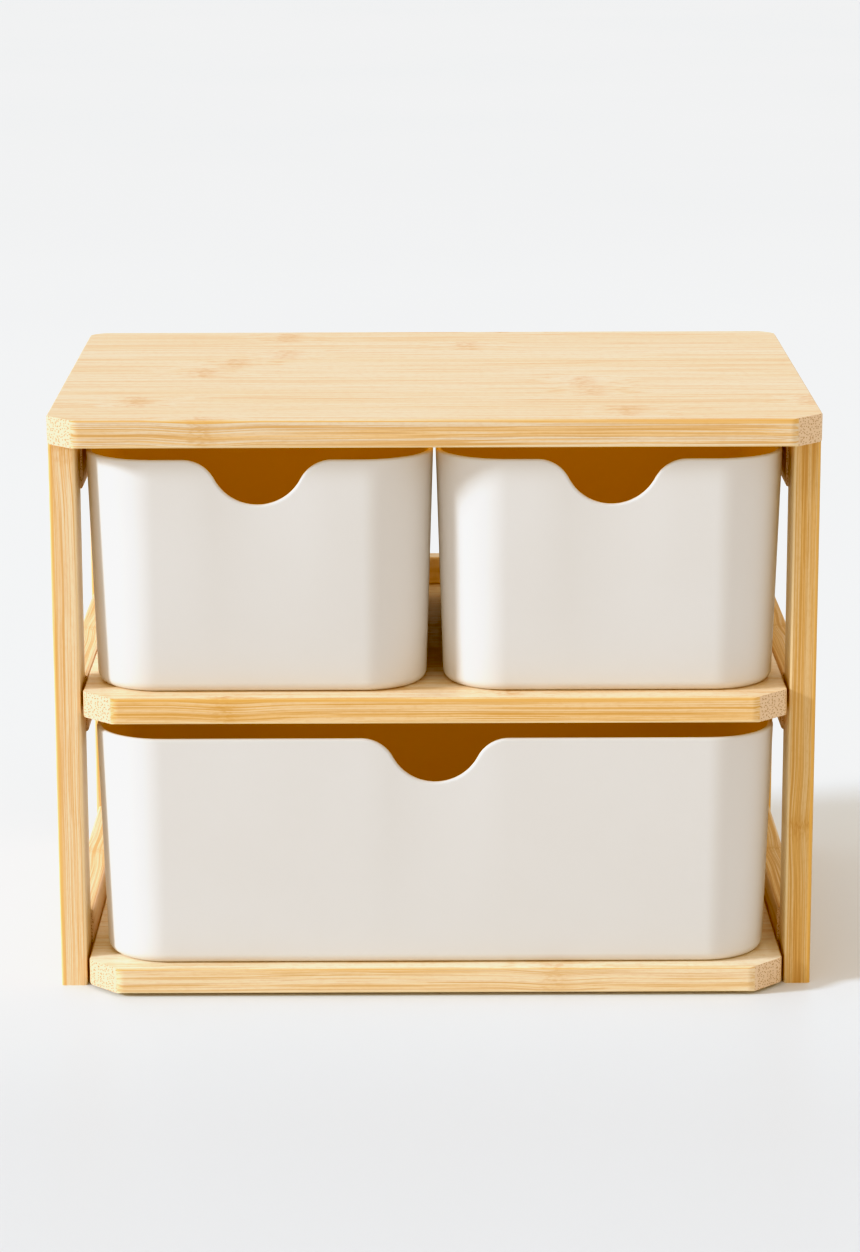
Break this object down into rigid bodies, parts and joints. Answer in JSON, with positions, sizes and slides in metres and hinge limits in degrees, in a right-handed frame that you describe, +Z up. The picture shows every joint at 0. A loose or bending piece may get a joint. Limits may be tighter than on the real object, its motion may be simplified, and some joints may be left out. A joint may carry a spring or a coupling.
{
  "type": "desktop drawer organiser",
  "caption": "Open bamboo desktop frame with clipped-corner boards, holding pull-out moulded drawers with finger notches for small crafts and parts.",
  "frame": {"origin": "middle of the footprint, at the height of the surface that the frame stands on", "axes": "+X to the right as seen from the front, +Y from the front to the back, +Z up"},
  "size_m": [0.26, 0.19, 0.2013],
  "materials": {
    "bamboo_top": "satin lacquered bamboo, flat-pressed strips along the width",
    "bamboo_board": "satin lacquered bamboo",
    "bamboo_strip": "satin lacquered bamboo, grain along the strip",
    "dowel_wood": "plain turned wood",
    "drawer_plastic": "fine matt white moulded plastic"
  },
  "bodies": {
    "frame": {"top_board": "bamboo_top", "middle_shelf": "bamboo_board", "bottom_board": "bamboo_board", "left_front_post": "bamboo_strip", "left_rear_post": "bamboo_strip", "right_front_post": "bamboo_strip", "right_rear_post": "bamboo_strip", "left_top_rail": "bamboo_strip", "left_middle_rail": "bamboo_strip", "left_bottom_rail": "bamboo_strip", "right_top_rail": "bamboo_strip", "right_middle_rail": "bamboo_strip", "right_bottom_rail": "bamboo_strip", "middle_back_stop": "bamboo_strip", "bottom_back_stop": "bamboo_strip", "left_rail_dowels": "dowel_wood", "right_rail_dowels": "dowel_wood", "top_board_dowels": "dowel_wood", "left_shelf_dowels": "dowel_wood", "right_shelf_dowels": "dowel_wood", "left_base_dowels": "dowel_wood", "right_base_dowels": "dowel_wood", "middle_stop_dowels": "dowel_wood", "bottom_stop_dowels": "dowel_wood"},
    "upper_left_drawer": {"upper_left_drawer": "drawer_plastic"},
    "upper_right_drawer": {"upper_right_drawer": "drawer_plastic"},
    "lower_drawer": {"lower_drawer": "drawer_plastic"}
  },
  "joints": [
    {"name": "upper_left_drawer_slide", "type": "slide", "parent": "frame", "child": "upper_left_drawer", "axis": [0, -1, 0], "range_m": [0, 0.13]},
    {"name": "upper_right_drawer_slide", "type": "slide", "parent": "frame", "child": "upper_right_drawer", "axis": [0, -1, 0], "range_m": [0, 0.13]},
    {"name": "lower_drawer_slide", "type": "slide", "parent": "frame", "child": "lower_drawer", "axis": [0, -1, 0], "range_m": [0, 0.13]}
  ]
}
